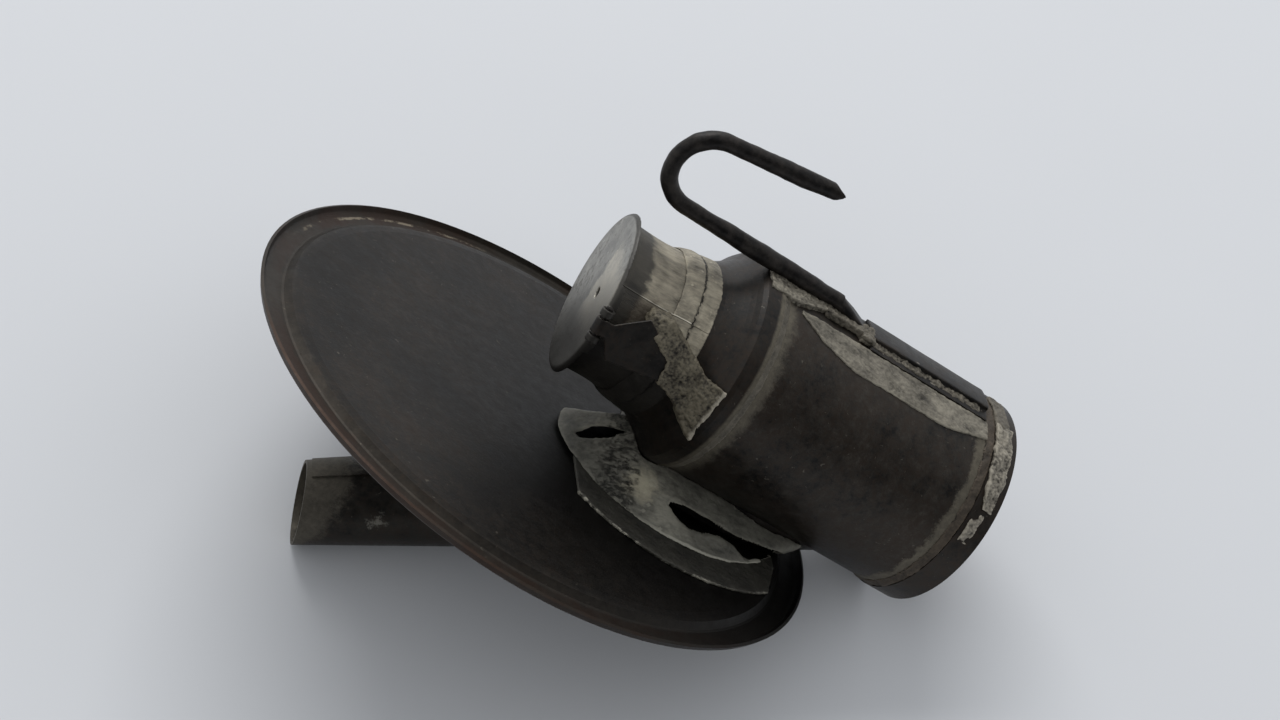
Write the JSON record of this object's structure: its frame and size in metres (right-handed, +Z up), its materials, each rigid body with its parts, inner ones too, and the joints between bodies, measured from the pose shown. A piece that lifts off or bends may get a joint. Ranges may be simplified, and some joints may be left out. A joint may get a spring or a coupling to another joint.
{
  "type": "oil wick cap lamp",
  "caption": "Small tinned iron oil lamp with a hinged filler lid, a long wick spout through a round reflector, and a wire hook for hanging it on a cap.",
  "frame": {"origin": "bottom centre of the bounding box of the lamp as it lies on a table, on the foot's edge, the reflector's rim and the spout's tip", "axes": "+Z up from the table; the spout runs out towards -X and dips a little; the font lies with its foot at the +X end and its lid towards -X and up; the hook stands above the font on the +Y side and the lid's hinge is on the -Y side"},
  "size_m": [0.1237, 0.0967, 0.0768],
  "materials": {
    "sooty_tin": "tinned sheet iron, dark with soot, worn grey",
    "rusty_tin": "tinned sheet iron, dark, with rust brown edges",
    "grey_tin": "tinned sheet iron, dull grey",
    "iron_wire": "dark brown iron wire",
    "solder": "rough, crusty grey solder",
    "cotton": "plaited cotton"
  },
  "bodies": {
    "lamp": {"font_wall": "sooty_tin", "font_bottom": "rusty_tin", "bottom_solder": "solder", "shoulder": "sooty_tin", "shoulder_solder": "solder", "side_seam_solder": "solder", "neck_collar": "sooty_tin", "collar_solder": "solder", "hinge_pin": "iron_wire", "hinge_strap": "sooty_tin", "strap_solder": "solder", "spout_tube": "rusty_tin", "spout_seam": "rusty_tin", "saddle": "grey_tin", "saddle_flange": "grey_tin", "far_flange": "grey_tin", "reflector": "rusty_tin", "hook_wire": "iron_wire", "hook_sleeve": "sooty_tin", "hook_solder": "solder"},
    "lid": {"lid": "rusty_tin"},
    "wick": {"wick": "cotton"}
  },
  "joints": [
    {"name": "lid_hinge", "type": "hinge", "parent": "lamp", "child": "lid", "pos_m": [-0.00908, -0.00549, 0.05531], "axis": [0.3257, 0.4579, 0.8272], "range_deg": [0, 125]},
    {"name": "wick_feed", "type": "slide", "parent": "lamp", "child": "wick", "axis": [-0.9761, -0.1877, -0.1094], "range_m": [0, 0.008]}
  ]
}
